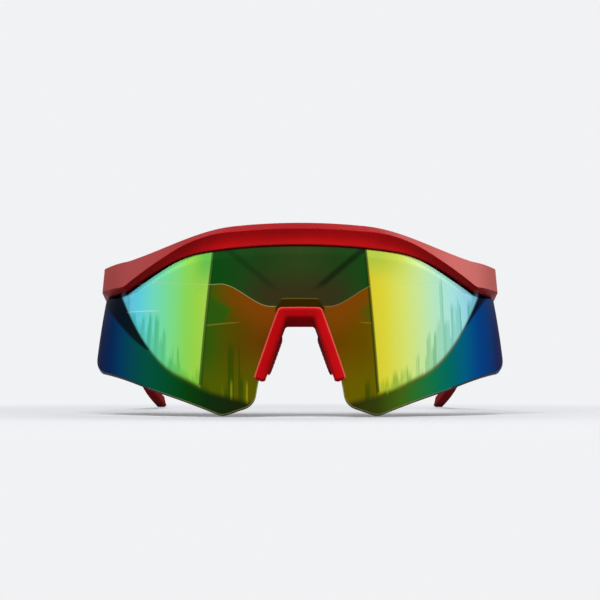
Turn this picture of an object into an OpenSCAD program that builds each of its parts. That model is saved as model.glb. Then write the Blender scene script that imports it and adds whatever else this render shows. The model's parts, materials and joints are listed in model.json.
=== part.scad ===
// Wraparound sport sunglasses: a one-piece shield lens under a full-width brow bar, with a clip-on
// nose bridge and two arms that fold on screwed leaf hinges.
//
// Every piece is drawn in the brow frame: X to the right, Y from the front of the brow back to the
// arm tips, Z up, with the origin on the lens surface at the middle of the brow. stand() then tips
// the whole object back until the lens lobes and the arm tips rest on Z = 0, and centres it.

/* [Lens] */
// Plan radius of the outer face of the lens
lens_plan_r = 82; // [76:0.5:92]
// Vertical radius of the outer face of the lens
lens_side_r = 110; // [95:1:160]
// Thickness of the lens
lens_t = 2.0; // [1.6:0.1:2.2]
// How far the outer corners of the lens stand out past the end pieces, before they are rounded
wing_out = 1.8; // [0.5:0.1:2.5]
// Height of the outer corners of the lens
lens_corner_z = -39.1; // [-42:0.1:-36]
// Height of the lowest points of the two lens lobes
lobe_z = -63.1; // [-67:0.1:-60]
// Distance from the middle to the lowest corner of each lobe
lobe_x = 24.9; // [22:0.1:28]
// Radius of the outer corners of the lens
lens_corner_r = 6.5; // [4:0.5:8]
// Radius of the two corners of each lobe
lobe_r = 5; // [3:0.5:6]

/* [Brow] */
// Half width across the end pieces
half_w = 70; // [69:0.5:72]
// Height of the brow top at the middle
brow_top_z = 1.6; // [0.5:0.1:3]
// Height of the brow lower edge at the middle
brow_low_z = -6.7; // [-8.5:0.1:-6]
// Height of the shallow dip in the brow top, inboard of each end piece
top_dip_z = -4.6; // [-6:0.1:-4]
// Height of the end piece top
end_top_z = -3.3; // [-3.8:0.1:-2.5]
// Lowest height of the brow lower edge, beside each end piece
dip_z = -14.6; // [-16:0.1:-14]
// Height of the end piece lower edge at the outside
end_low_z = -12.7; // [-12.9:0.1:-12.5]
// Half width of the level middle of the brow top
top_flat = 21; // [10:1:30]
// Half width of the level middle of the brow lower edge
low_flat = 32; // [25:1:38]
// Half width of the level middle of the brow crease
crease_flat = 24; // [20:1:34]
// Distance of the dip in the brow top inside the end piece's outer face
top_dip_in = 10; // [8:0.5:14]
// Distance of the lowest point of the brow inside the end piece's outer face
low_dip_in = 10.5; // [9:0.5:15]
// Distance of the foot of the brow crease inside the end piece's outer face
crease_dip_in = 7.5; // [5:0.5:8]
// Drop from the brow top to the brow crease at the middle
crease_drop = 3; // [2:0.1:3.5]
// How far the brow crease stands out in front of the lens at the middle
crease_mid_out = 3.2; // [3:0.1:4.1]
// How far the brow crease stands out in front of the lens at the end pieces
crease_end_out = 3.2; // [2.2:0.1:3.9]
// How far the lower lip of the brow stands out in front of the lens
lip_proud = 1.3; // [1:0.1:1.6]
// Thickness of the brow behind the lens groove
back_wall = 1.5; // [1.2:0.1:2.5]
// Depth of the groove that holds the top edge of the lens
groove_depth = 2.6; // [1.8:0.1:3.2]
// Clearance between the lens and the groove walls
groove_gap = 0.12; // [0.05:0.01:0.25]
// Wall thickness of each end piece
end_t = 5.6; // [5:0.1:6]

/* [Nose bridge] */
// Height of the top of the nose bridge
bridge_top_z = -29.3; // [-31:0.1:-27]
// Height of the feet of the nose bridge
bridge_foot_z = -52.4; // [-55:0.1:-51]
// Half width of the bridge at its top
bridge_top_x = 7; // [6.5:0.1:8]
// Half width of the bridge at its feet
bridge_foot_x = 14.9; // [14:0.1:16]
// Width of the legs and the top bar of the bridge
bridge_leg_w = 3.8; // [3.6:0.1:4.4]
// How much slimmer the front of each leg is at its top than at its foot
leg_taper = 1.3; // [0.9:0.1:1.6]
// How much slimmer the rear of each leg is at its top than at its foot
rear_taper = 0.8; // [0.5:0.1:0.9]
// Thickness of the flanges in front of and behind the lens
flange_t = 1.6; // [1.2:0.1:2]
// How far the flanges lap over the lens edge
flange_lap = 1.7; // [1.2:0.1:2]
// How far the bridge reaches back from the brow datum
bridge_back_y = 12; // [9:0.5:15]
// How far the flange behind the lens ends above each foot
flange_lift = 1.8; // [1:0.1:2.2]
// How far the rear of each leg ends above its foot
bridge_rear_lift = 3.4; // [2.5:0.1:5]
// Thickness of each nose pad
pad_t = 0.7; // [0.6:0.05:0.9]

/* [Arms] */
// Distance from the hinge axis to the arm tip
arm_len = 137; // [130:1:140]
// Thickness of the arm at the hinge
arm_root_t = 4.0; // [3.6:0.1:4.4]
// Thickness of the arm along its slim middle
arm_mid_t = 3.2; // [2.6:0.1:3.3]
// Thickness of the grip sleeve
sock_t = 4.4; // [3.8:0.1:5]
// Distance from the hinge axis to the end of the deep part of the arm
arm_deep_len = 38; // [30:1:44]
// Distance from the hinge axis to the start of the slim part of the arm
arm_slim_at = 62; // [54:1:72]
// Distance from the hinge axis to the front of the grip sleeve
sock_start = 88; // [84:1:95]
// How far the tips curve in towards the head
tip_in = 3.5; // [0:0.5:4]
// Gap between the end piece and the arm when open
arm_gap = 0.3; // [0.2:0.05:0.5]

/* [Hinges] */
// Distance of each hinge axis inside the outer faces of the end pieces
hinge_in = 7.4; // [7.2:0.1:8]
// Distance of the hinge axes behind the rear faces of the end pieces
hinge_back = 2.4; // [2.2:0.1:2.8]
// Height of the middle of each hinge
hinge_z = -8; // [-8.3:0.1:-7.7]
// Radius of the hinge knuckles
knuckle_r = 1.8; // [1.7:0.05:1.9]
// Height of the hinge over all its knuckles
hinge_h = 8; // [7:0.1:8.2]
// Height of the middle knuckle
middle_h = 3; // [2.4:0.1:3.6]
// Gap between neighbouring knuckles
knuckle_gap = 0.1; // [0.05:0.01:0.2]
// Radius of the hinge screw shank
screw_r = 0.7; // [0.6:0.05:0.8]
// Radial clearance of the hinge screw in its holes
screw_gap = 0.04; // [0.02:0.01:0.08]
// Radius of the hinge screw head
screw_head_r = 1.2; // [1.1:0.05:1.25]
// Height of the hinge screw head
screw_head_h = 0.8; // [0.6:0.05:1]
// Wall of the bush in the middle knuckle
bush_wall = 0.35; // [0.3:0.05:0.4]
// Thickness of the hinge leaves
leaf_t = 0.8; // [0.6:0.05:0.9]
// Length of the leaf on each arm
arm_leaf_len = 11; // [10:0.5:13]
// Length of the leaf in each end piece
end_leaf_len = 6; // [5.5:0.1:7]
// Room between the back of the brow and the front of the leaf in each end piece
leaf_room = 0.8; // [0.5:0.1:2]
// Radius of the shanks of the leaf screws
leaf_screw_r = 0.6; // [0.5:0.05:0.7]
// Radius of the heads of the leaf screws
leaf_head_r = 1.05; // [0.95:0.05:1.2]
// Height of the heads of the leaf screws
leaf_head_h = 0.45; // [0.3:0.05:0.5]
// Length of the leaf screws
leaf_screw_len = 2.9; // [2.2:0.1:3.2]

/* [Hidden] */

RED = [0.78, 0.06, 0.09];
RUBBER_RED = [0.66, 0.05, 0.08];
LENS = [0.45, 0.75, 0.35, 0.75];
STEEL = [0.72, 0.73, 0.75];
NYLON = [0.9, 0.89, 0.84];

// Height of the middle of the lens, where its outer face is upright
lens_mid_z = -34;
// Gap between the lens top edge and the groove floor
groove_floor_gap = 0.5;
// Gap between the lens and the brow where the lens has left its groove
brow_gap = 0.15;
// How far the side edges of the lens lean in towards the top
wing_lean = 2.7;
lens_half_w = half_w + wing_out;
// Inner face of the end pieces, which carries the frame leaves
end_in_x = half_w - end_t;
// Inner face of the arms, which carries the arm leaves
arm_in_x = half_w - arm_root_t;
hinge_x = half_w - hinge_in;
// Least height of the upright step along the brow's lower edges
edge_step = 0.4;
eps = 0.01;

function mix(a, b, t) = a + (b - a) * t;
function share(x, from, to) = min(max((x - from) / (to - from), 0), 1);
// Slow at both ends
function ease(x, from, to) = let (t = share(x, from, to)) t * t * (3 - 2 * t);
// Slow at the start, then straight
function ramp(x, from, to) = let (t = share(x, from, to))
    t < 0.5 ? t * t / 0.75 : (2 * t - 0.5) / 1.5;

// Distance of a lens face from its upright axis, at height z and offset out from the outer face
function lens_rho(z, out = 0) =
    lens_plan_r - lens_side_r + sqrt(pow(lens_side_r + out, 2) - pow(z - lens_mid_z, 2));
// Depth of a lens face at x and z
function lens_y(x, z, out = 0) = lens_plan_r - sqrt(pow(lens_rho(z, out), 2) - x * x);

// Heights of the brow's long edges at a distance x from the middle
top_dip_x = half_w - top_dip_in;
low_dip_x = half_w - low_dip_in;
crease_dip_x = half_w - crease_dip_in;
function top_z(x) = mix(brow_top_z, top_dip_z, ease(x, top_flat, top_dip_x))
    + (end_top_z - top_dip_z) * share(x, top_dip_x, half_w);
function low_z(x) = x < low_dip_x
    ? mix(brow_low_z, dip_z, ramp(x, low_flat, low_dip_x))
    : mix(dip_z, end_low_z, share(x, low_dip_x, half_w));
function crease_z(x) = max(
    mix(brow_top_z - crease_drop, dip_z, ramp(x, crease_flat, crease_dip_x)),
    low_z(x) + edge_step
);
// Distance of the brow crease from the upright axis of the lens
brow_mid_r = lens_rho(brow_top_z - crease_drop) + crease_mid_out;
brow_end_r = lens_rho(dip_z) + crease_end_out;
function brow_rho(x) = mix(brow_mid_r, brow_end_r, share(x, top_flat, crease_dip_x));
// Angles about the lens axis where the front meets the straight sides and where the groove ends
turn_angle = asin(half_w / brow_end_r);
tab_angle = turn_angle - 2.5;
// Rear faces of the end pieces, the hinge axes and the front faces of the arms
end_back_y = lens_plan_r - end_in_x / tan(turn_angle) + leaf_room + end_leaf_len;
hinge_y = end_back_y + hinge_back;
arm_front_y = end_back_y + arm_gap;

// Arc that rounds corner b between a and c
function corner(a, b, c, r, steps = 6) = r <= 0 ? [b] : let (
    u = (a - b) / norm(a - b),
    w = (c - b) / norm(c - b),
    half = acos(u * w) / 2,
    middle = b + (u + w) / norm(u + w) * r / sin(half),
    p = b + u * r / tan(half) - middle,
    q = b + w * r / tan(half) - middle,
    from = atan2(p.y, p.x),
    turn = (atan2(q.y, q.x) - from + 540) % 360 - 180
) [for (i = [0:steps]) middle + r * [cos(from + turn * i / steps), sin(from + turn * i / steps)]];
// Outline of corners [x, y, radius] with each corner rounded
function rounded(v) = let (n = len(v)) [
    for (i = [0:n - 1])
        let (a = v[(i + n - 1) % n], b = v[i], c = v[(i + 1) % n])
            each corner([a.x, a.y], [b.x, b.y], [c.x, c.y], b.z)
];
function mirrored(v) = concat(v, [for (i = [len(v) - 1:-1:0]) [-v[i].x, v[i].y]]);

// Lower edge of the lens: outer corner, slight bulge, the two corners of the lobe, nose cut-out
outer_tip = [lens_half_w, lens_corner_z];
lobe_tip = [lobe_x, lobe_z];
lobe_inner = [lobe_x - 10.3, lobe_z + 2.7];
bulge = (outer_tip + lobe_tip) / 2 - [0, 1.2];
cut_foot = [bridge_foot_x - flange_lap, bridge_foot_z];
lobe_arc = concat(
    corner(bulge, lobe_tip, lobe_inner, lobe_r), corner(lobe_tip, lobe_inner, cut_foot, lobe_r)
);

// Side outline of the grip sleeve, as [distance behind the hinge axis, height]
sock_top_z = -13.7;
tip_low_z = -18.8;
sock_side = rounded([
    [sock_start, sock_top_z, 0], [sock_start, sock_top_z - 3.9, 0],
    [arm_len - 14, tip_low_z, 6], [arm_len - 1.2, tip_low_z, 0.8],
    [arm_len, tip_low_z + 1.3, 0.6], [arm_len - 4.6, sock_top_z - 0.4, 1]
]);

// Standing pose: the arm tips' undersides and the back edges of the lens lobes on one plane
function drop(p, a) = p.y * cos(a) - p.x * sin(a);
function lowest(v, a) = let (low = min([for (p = v) drop(p, a)]))
    [for (p = v) if (drop(p, a) == low) p][0];
rough_tilt = 14;
lobe_rest = lowest([for (p = lobe_arc) [lens_y(p.x, p.y, -lens_t), p.y]], rough_tilt);
tip_rest = lowest([for (p = sock_side) [hinge_y + p.x, p.y]], rough_tilt);
tilt = atan((tip_rest.y - lobe_rest.y) / (tip_rest.x - lobe_rest.x));
function tipped_y(y, z) = y * cos(tilt) + z * sin(tilt);
function tipped_z(y, z) = z * cos(tilt) - y * sin(tilt);
front_reach = tipped_y(lens_y(bridge_foot_x - 1, bridge_foot_z, flange_t), bridge_foot_z);
back_reach = max([for (p = sock_side) tipped_y(hinge_y + p.x, p.y)]);
module stand() {
    translate([0, -(front_reach + back_reach) / 2, -tipped_z(lobe_rest.x, lobe_rest.y)])
        rotate([-tilt, 0, 0])
            children();
}

module both_ways(side) {
    if (side > 0) children();
    else mirror([1, 0, 0]) children();
}

// Curved shell that follows the lens, between two offsets from its outer face
module lens_shell(from, to) {
    translate([0, lens_plan_r, 0])
        rotate_extrude($fn = 240)
            intersection() {
                translate([lens_plan_r - lens_side_r, lens_mid_z])
                    difference() {
                        circle(lens_side_r + to, $fn = 360);
                        circle(lens_side_r + from, $fn = 360);
                    }
                translate([lens_plan_r - 30, -75]) square([50, 80]);
            }
}

// Front view outline carried from front to back
module front_prism(points, from = -10, to = 60) {
    translate([0, to, 0]) rotate([90, 0, 0]) linear_extrude(to - from) polygon(points);
}

// ---- Brow ----

// Width of the lens edge that sits in the groove
tab_x = lens_rho(end_low_z + groove_depth, -lens_t) * sin(tab_angle) - groove_floor_gap;
// Lower edge of the brow where its front meets the straight sides
turn_x = lens_rho(dip_z) * sin(turn_angle);
turn_low_z = low_z(turn_x);

// One upright slice through the brow, as [distance from the lens axis, height] pairs
function brow_slice(angle) = let (
    out_x = brow_mid_r * sin(angle),
    out_rho = brow_rho(out_x),
    x = out_rho * sin(angle),
    t = top_z(x),
    lip_x = lens_rho(low_z(out_x)) * sin(angle),
    l = low_z(lip_x),
    l_in = angle < turn_angle ? low_z(lens_rho(l, -lens_t) * sin(angle)) : l,
    c = max(crease_z(x), l + edge_step),
    end = share(x, crease_flat, crease_dip_x),
    groove = angle <= tab_angle ? groove_depth : 0.1,
    back = lens_rho(l_in + groove_depth, -lens_t) - groove_gap - back_wall,
    flat = end_in_x / max(sin(angle), eps),
    in_rho = mix(back, flat, share(angle, tab_angle, turn_angle))
) [
    [out_rho, c],
    [lens_rho(l) + lip_proud, l],
    [lens_rho(l) + groove_gap, l],
    [lens_rho(l + groove) + groove_gap, l + groove],
    [lens_rho(l_in + groove, -lens_t) - groove_gap, l_in + groove],
    [lens_rho(l_in, -lens_t) - groove_gap, l_in],
    [in_rho, l_in + edge_step],
    [in_rho, t - 0.5],
    [in_rho + 0.5, t],
    [out_rho - mix(2.2, 0.4, end), t]
];
function brow_station(angle) = let (a = abs(angle)) [
    for (p = brow_slice(a)) [p.x * sin(angle), lens_plan_r - p.x * cos(a), p.y]
];
// Last slice, square across the end piece at its rear face
function end_station(side) = let (
    last = brow_station(turn_angle),
    xs = [half_w, half_w - 0.4, half_w - 1.2, half_w - 1.2, end_in_x + 2.2, end_in_x + 2.2,
        end_in_x, end_in_x, end_in_x + 0.5, half_w - 0.4]
) [for (i = [0:9]) [side * xs[i], end_back_y, last[i].z]];
arc_steps = 34;
right_angles = [
    for (i = [0:arc_steps]) tab_angle * i / arc_steps,
    tab_angle + 0.3,
    turn_angle
];
brow_angles = concat([for (i = [len(right_angles) - 1:-1:1]) -right_angles[i]], right_angles);

// Closed skin over a row of slices with the same number of points
module skin(stations) {
    n = len(stations);
    m = len(stations[0]);
    polyhedron(
        points = [for (s = stations) each s],
        faces = concat(
            [[for (j = [0:m - 1]) j]],
            [[for (j = [m - 1:-1:0]) (n - 1) * m + j]],
            [for (i = [0:n - 2], j = [0:m - 1])
                [i * m + j, (i + 1) * m + j, (i + 1) * m + (j + 1) % m]],
            [for (i = [0:n - 2], j = [0:m - 1])
                [i * m + j, (i + 1) * m + (j + 1) % m, i * m + (j + 1) % m]]
        )
    );
}

module leaf_screw_holes(side) {
    both_ways(side)
        for (y = end_screw_y)
            translate([end_in_x - eps, y, hinge_z])
                rotate([0, 90, 0])
                    cylinder(r = leaf_screw_r, h = leaf_screw_len - leaf_t + 0.3, $fn = 32);
}

module front_frame() {
    color(RED)
        stand()
            difference() {
                skin(concat(
                    [end_station(-1)],
                    [for (a = brow_angles) brow_station(a)],
                    [end_station(1)]
                ));
                leaf_screw_holes(-1);
                leaf_screw_holes(1);
            }
}

// ---- Lens ----

cut_top_z = bridge_top_z - flange_lap;
cut_top_x = bridge_top_x - flange_lap;
cut_foot_x = cut_foot.x;
// Half outline of the lens in front view, from the middle of the brow round to the nose cut-out
lens_half = let (
    tab_top = [for (i = [0:30]) let (x = tab_x * i / 30)
        [x, low_z(x) + groove_depth - groove_floor_gap]],
    wing_x = lens_half_w - wing_lean,
    shoulder = [
        [tab_x, low_z(tab_x) - brow_gap], [turn_x, turn_low_z - brow_gap],
        [wing_x, turn_low_z - brow_gap]
    ],
    outer = corner([wing_x, end_low_z], outer_tip, bulge, lens_corner_r),
    low_edge = corner(outer_tip, bulge, lobe_tip, 60, 4),
    cut = [cut_foot, [cut_top_x, cut_top_z], [0, cut_top_z]]
) concat(tab_top, shoulder, outer, low_edge, lobe_arc, cut);

module shield_lens() {
    color(LENS)
        stand()
            intersection() {
                lens_shell(-lens_t, 0);
                front_prism(mirrored(lens_half));
            }
}

// ---- Nose bridge ----

// Upside-down U in front view: its outer line inset, its legs' width and taper, its feet lifted
function bridge_u(inset, leg, taper, lift = 0) = let (
    top_x = bridge_top_x - inset,
    foot_x = bridge_foot_x - inset,
    top = bridge_top_z - inset,
    slope = (bridge_foot_x - bridge_top_x) / (bridge_top_z - bridge_foot_z),
    low_x = foot_x - slope * lift,
    low = bridge_foot_z + lift,
    r = min(0.8, leg * 0.35)
) rounded([
    [-top_x, top, 1.6], [top_x, top, 1.6], [low_x, low, r],
    [low_x - leg, low - 0.6, r], [top_x - leg + taper, top - leg, 1.2],
    [-(top_x - leg + taper), top - leg, 1.2], [-(low_x - leg), low - 0.6, r],
    [-low_x, low, r]
]);

// Width of the rear of each leg, which leaves room for the pad behind the front of the leg
rear_leg_w = bridge_leg_w - flange_lap - 0.3 - pad_t;

module nose_bridge() {
    gap = 0.06;
    hole = [
        [-cut_foot_x, bridge_foot_z], [-cut_top_x, cut_top_z], [cut_top_x, cut_top_z],
        [cut_foot_x, bridge_foot_z]
    ];
    slot = concat(
        [[-30, bridge_foot_z - 6], [-30, 0], [30, 0], [30, bridge_foot_z - 6]],
        [[cut_foot_x - gap + 1.9, bridge_foot_z - 6], [hole[3].x - gap, hole[3].y]],
        [[hole[2].x - gap, hole[2].y - gap], [hole[1].x + gap, hole[1].y - gap]],
        [[hole[0].x + gap, hole[0].y], [-(cut_foot_x - gap + 1.9), bridge_foot_z - 6]]
    );
    color(RED)
        stand()
            union() {
                difference() {
                    union() {
                        intersection() {
                            lens_shell(-lens_t / 2 - eps, flange_t);
                            front_prism(bridge_u(0, bridge_leg_w, leg_taper));
                        }
                        intersection() {
                            lens_shell(-lens_t - flange_t, -lens_t / 2);
                            front_prism(bridge_u(0, bridge_leg_w, leg_taper, flange_lift));
                        }
                    }
                    intersection() {
                        lens_shell(-lens_t - gap, gap);
                        front_prism(slot);
                    }
                }
                front_prism(
                    bridge_u(flange_lap + 0.3, rear_leg_w, rear_taper, bridge_rear_lift),
                    lens_t + 1.5, bridge_back_y
                );
            }
}

// Soft pad along the inner face of one leg of the bridge
module nose_pad(side) {
    seat = flange_lap + 0.3 + rear_leg_w;
    foot = [bridge_foot_x - seat, bridge_foot_z - 0.6];
    top = [bridge_top_x - seat + rear_taper, bridge_top_z - seat];
    a = mix(top, foot, 0.2);
    b = mix(top, foot, 0.8);
    out = 0.06;
    front_y = lens_y(bridge_foot_x, bridge_foot_z, -lens_t - flange_t) + 0.3;
    color(RUBBER_RED)
        stand()
            both_ways(side)
                front_prism(
                    rounded([
                        [a.x - out, a.y, 0.1], [b.x - out, b.y, 0.1],
                        [b.x - out - pad_t, b.y + 0.5, 0.4], [a.x - out - pad_t, a.y - 1.5, 0.4]
                    ]),
                    front_y, bridge_back_y + 0.5
                );
}

// ---- Hinges ----

end_screw_y = [end_back_y - end_leaf_len + 1.3, end_back_y - 1.5];
arm_screw_y = [hinge_y + arm_leaf_len - 6, hinge_y + arm_leaf_len - 2];
hinge_low = hinge_z - hinge_h / 2;
outer_h = (hinge_h - middle_h) / 2 - knuckle_gap;
bush_r = screw_r + screw_gap + bush_wall;

// Leaf screws of one leaf, pointing out towards the wearer's side
module leaf_screws(side, leaf_x, ys) {
    color(STEEL)
        stand()
            both_ways(side)
                for (y = ys)
                    translate([leaf_x - leaf_t, y, hinge_z])
                        rotate([0, 90, 0])
                            difference() {
                                union() {
                                    cylinder(r = leaf_head_r, h = leaf_head_h, $fn = 40);
                                    cylinder(r = leaf_screw_r, h = leaf_screw_len, $fn = 32);
                                }
                                translate([-0.15, -leaf_head_r, -eps])
                                    cube([0.3, 2 * leaf_head_r, 0.2]);
                            }
}

module leaf_holes(leaf_x, ys) {
    for (y = ys)
        translate([leaf_x - leaf_t - eps, y, hinge_z])
            rotate([0, 90, 0]) {
                cylinder(r = leaf_head_r + 0.03, h = leaf_head_h + eps, $fn = 40);
                cylinder(r = leaf_screw_r + 0.02, h = leaf_t + 2 * eps, $fn = 32);
            }
}

// Leaf in the end piece, with the upper and lower knuckles
module frame_hinge(side) {
    color(STEEL)
        stand()
            both_ways(side)
                difference() {
                    union() {
                        translate([end_in_x - leaf_t, end_back_y - end_leaf_len, hinge_low])
                            cube([leaf_t, end_leaf_len, hinge_h]);
                        for (z = [hinge_low, hinge_low + hinge_h - outer_h]) {
                            translate([hinge_x, hinge_y, z])
                                cylinder(r = knuckle_r, h = outer_h, $fn = 48);
                            translate([end_in_x - leaf_t, end_back_y - 1, z])
                                cube([leaf_t, hinge_back + 1, outer_h]);
                        }
                    }
                    translate([hinge_x, hinge_y, hinge_low - eps])
                        cylinder(r = screw_r + screw_gap, h = hinge_h + 2 * eps, $fn = 32);
                    translate([hinge_x, hinge_y, hinge_low + hinge_h - screw_head_h])
                        cylinder(r = screw_head_r + 0.04, h = screw_head_h + eps, $fn = 40);
                    leaf_holes(end_in_x, end_screw_y);
                }
}

// Leaf on the arm, with the middle knuckle
module arm_hinge(side) {
    low = hinge_z - middle_h / 2;
    color(STEEL)
        stand()
            both_ways(side)
                difference() {
                    union() {
                        translate([arm_in_x - leaf_t, hinge_y + 2.2, hinge_low])
                            cube([leaf_t, arm_leaf_len - 2.2, hinge_h]);
                        translate([hinge_x, hinge_y + 0.5, low])
                            cube([arm_in_x - hinge_x, 1.2, middle_h]);
                        translate([arm_in_x - leaf_t, hinge_y + 0.5, low])
                            cube([leaf_t, 2, middle_h]);
                        translate([hinge_x, hinge_y, low])
                            cylinder(r = knuckle_r, h = middle_h, $fn = 48);
                    }
                    translate([hinge_x, hinge_y, low - eps])
                        cylinder(r = bush_r + 0.01, h = middle_h + 2 * eps, $fn = 32);
                    leaf_holes(arm_in_x, arm_screw_y);
                }
}

module hinge_bush(side) {
    low = hinge_z - middle_h / 2;
    color(NYLON)
        stand()
            both_ways(side)
                translate([hinge_x, hinge_y, low])
                    difference() {
                        cylinder(r = bush_r, h = middle_h, $fn = 32);
                        translate([0, 0, -eps])
                            cylinder(r = screw_r + screw_gap, h = middle_h + 2 * eps, $fn = 32);
                    }
}

module hinge_screw(side) {
    color(STEEL)
        stand()
            both_ways(side)
                translate([hinge_x, hinge_y, 0])
                    difference() {
                        union() {
                            translate([0, 0, hinge_low])
                                cylinder(r = screw_r, h = hinge_h, $fn = 32);
                            translate([0, 0, hinge_low + hinge_h - screw_head_h])
                                cylinder(r = screw_head_r, h = screw_head_h, $fn = 40);
                        }
                        translate([-screw_head_r, -0.15, hinge_low + hinge_h - 0.35])
                            cube([2 * screw_head_r, 0.3, 0.35 + eps]);
                    }
}

// ---- Arms ----

// Edges of the arm in side view at a distance t behind the hinge axis
slim_top_z = sock_top_z - 0.1;
slim_low_z = sock_top_z - 3.5;
function arm_top_z(t) = mix(
    mix(end_top_z - 0.2, end_top_z - 3.2, share(t, 0, arm_deep_len)),
    slim_top_z,
    ease(t, arm_deep_len - 2, arm_slim_at)
);
function arm_low_z(t) = mix(
    end_low_z - 0.3 * share(t, 0, arm_deep_len),
    slim_low_z,
    ease(t, arm_deep_len + 8, arm_slim_at + 2)
);
// How far the arm's inner face has curved in, and the thickness of the arm
function arm_in(t) = tip_in * pow(share(t, sock_start - 8, arm_len), 2);
function arm_thick(t) = mix(arm_root_t, arm_mid_t, ease(t, arm_leaf_len + 3, arm_deep_len + 8));

// Solid with a side outline of [t, z] and a plan outline of [x, t] measured in from the arm's face
module arm_solid(side_outline, plan_outline) {
    intersection() {
        translate([half_w - 20, hinge_y, 0])
            rotate([90, 0, 90]) linear_extrude(30) polygon(side_outline);
        translate([0, hinge_y, -30]) linear_extrude(40) polygon(plan_outline);
    }
}

arm_start = arm_front_y - hinge_y;
body_t = [for (i = [0:30]) mix(arm_start, sock_start, i / 30)];
tongue_t = [for (i = [0:6]) mix(sock_start, arm_len - 8, i / 6)];
tongue_h = 2.6;
tongue_w = 1.8;
tongue_z = sock_top_z - 2.0;

module arm(side) {
    color(RED)
        stand()
            both_ways(side)
                difference() {
                    union() {
                        arm_solid(
                            concat(
                                [for (t = body_t) [t, arm_top_z(t)]],
                                [for (i = [30:-1:0]) [body_t[i], arm_low_z(body_t[i])]]
                            ),
                            concat(
                                [for (t = body_t) [arm_in_x - arm_in(t), t]],
                                [for (i = [30:-1:0]) let (t = body_t[i])
                                    [arm_in_x - arm_in(t) + arm_thick(t), t]]
                            )
                        );
                        tongue(0);
                    }
                    for (y = arm_screw_y)
                        translate([arm_in_x - eps, y, hinge_z])
                            rotate([0, 90, 0])
                                cylinder(
                                    r = leaf_screw_r, h = leaf_screw_len - leaf_t + 0.3, $fn = 32
                                );
                }
}

// Flat tongue that carries the grip sleeve, grown by gap
module tongue(gap) {
    middle = arm_mid_t / 2;
    ts = [for (t = tongue_t) t == sock_start ? t - 0.5 : t == tongue_t[6] ? t + gap : t];
    arm_solid(
        [
            [ts[0], tongue_z - tongue_h / 2 - gap], [ts[6], tongue_z - tongue_h / 2 - gap],
            [ts[6], tongue_z + tongue_h / 2 + gap], [ts[0], tongue_z + tongue_h / 2 + gap]
        ],
        concat(
            [for (t = ts) [arm_in_x - arm_in(t) + middle - tongue_w / 2 - gap, t]],
            [for (i = [6:-1:0]) let (t = ts[i])
                [arm_in_x - arm_in(t) + middle + tongue_w / 2 + gap, t]]
        )
    );
}

module ear_sock(side) {
    steps = 10;
    ts = [for (i = [0:steps]) mix(sock_start, arm_len, i / steps)];
    function over(t) = (sock_t - arm_mid_t) / 2 * ease(t, sock_start, sock_start + 8);
    color(RUBBER_RED)
        stand()
            both_ways(side)
                difference() {
                    arm_solid(
                        sock_side,
                        concat(
                            [for (t = ts) [arm_in_x - arm_in(t) - over(t), t]],
                            [for (i = [steps:-1:0]) let (t = ts[i])
                                [arm_in_x - arm_in(t) + arm_mid_t + over(t), t]]
                        )
                    );
                    tongue(0.02);
                }
}

front_frame();
shield_lens();
nose_bridge();
nose_pad(-1);  // nose_pad_left
nose_pad(1);  // nose_pad_right
frame_hinge(-1);  // frame_hinge_left
frame_hinge(1);  // frame_hinge_right
leaf_screws(-1, end_in_x, end_screw_y);  // frame_hinge_screws_left
leaf_screws(1, end_in_x, end_screw_y);  // frame_hinge_screws_right
hinge_screw(-1);  // hinge_screw_left
hinge_screw(1);  // hinge_screw_right
arm(-1);  // arm_left
arm(1);  // arm_right
ear_sock(-1);  // ear_sock_left
ear_sock(1);  // ear_sock_right
arm_hinge(-1);  // arm_hinge_left
arm_hinge(1);  // arm_hinge_right
leaf_screws(-1, arm_in_x, arm_screw_y);  // arm_hinge_screws_left
leaf_screws(1, arm_in_x, arm_screw_y);  // arm_hinge_screws_right
hinge_bush(-1);  // hinge_bush_left
hinge_bush(1);  // hinge_bush_right
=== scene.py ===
"""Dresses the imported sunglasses: mirrored lens, satin red brow, bridge and arms, rubber grips.

Shapes are worked out in the brow frame, in millimetres: X to the right, Y from the front of the
brow back to the arm tips, Z up. stand() carries them into the row frame, where the glasses lean
back on their lens lobes and arm tips.
"""
import json
import math

import bmesh
import bpy
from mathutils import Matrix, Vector, geometry


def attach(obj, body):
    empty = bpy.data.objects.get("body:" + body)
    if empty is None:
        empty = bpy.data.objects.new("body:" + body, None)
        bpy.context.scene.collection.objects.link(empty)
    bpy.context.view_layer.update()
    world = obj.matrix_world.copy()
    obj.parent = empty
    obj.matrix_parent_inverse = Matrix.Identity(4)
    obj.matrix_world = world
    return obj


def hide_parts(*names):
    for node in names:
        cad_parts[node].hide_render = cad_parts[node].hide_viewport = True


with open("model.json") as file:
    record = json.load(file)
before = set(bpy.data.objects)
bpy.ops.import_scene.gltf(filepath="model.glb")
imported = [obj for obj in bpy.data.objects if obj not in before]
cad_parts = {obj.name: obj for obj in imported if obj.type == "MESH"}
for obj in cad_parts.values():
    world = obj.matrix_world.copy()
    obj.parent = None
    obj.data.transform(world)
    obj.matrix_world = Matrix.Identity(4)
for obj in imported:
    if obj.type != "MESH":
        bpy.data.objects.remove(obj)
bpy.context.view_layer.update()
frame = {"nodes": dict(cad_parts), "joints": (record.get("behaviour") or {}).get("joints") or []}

# ---- Sizes, in millimetres, as in the part's source ----

LENS_R = 82.0  # radius of the outer face in plan
LENS_SIDE_R = 110.0  # radius of the outer face from the side
LENS_MID_Z = -34.0
LENS_T = 2.0
OUTER_TIP = (71.8, -39.1)  # corners of the lens in front view, right half
LOBE_TIP = (24.9, -63.1)
LOBE_INNER = (14.6, -60.4)
LENS_CORNER_R = 6.5
LOBE_R = 5.0
WING_LEAN = 2.7
GROOVE_DEPTH = 2.6
GROOVE_GAP = 0.12
FLOOR_GAP = 0.5
BROW_GAP = 0.15

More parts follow.
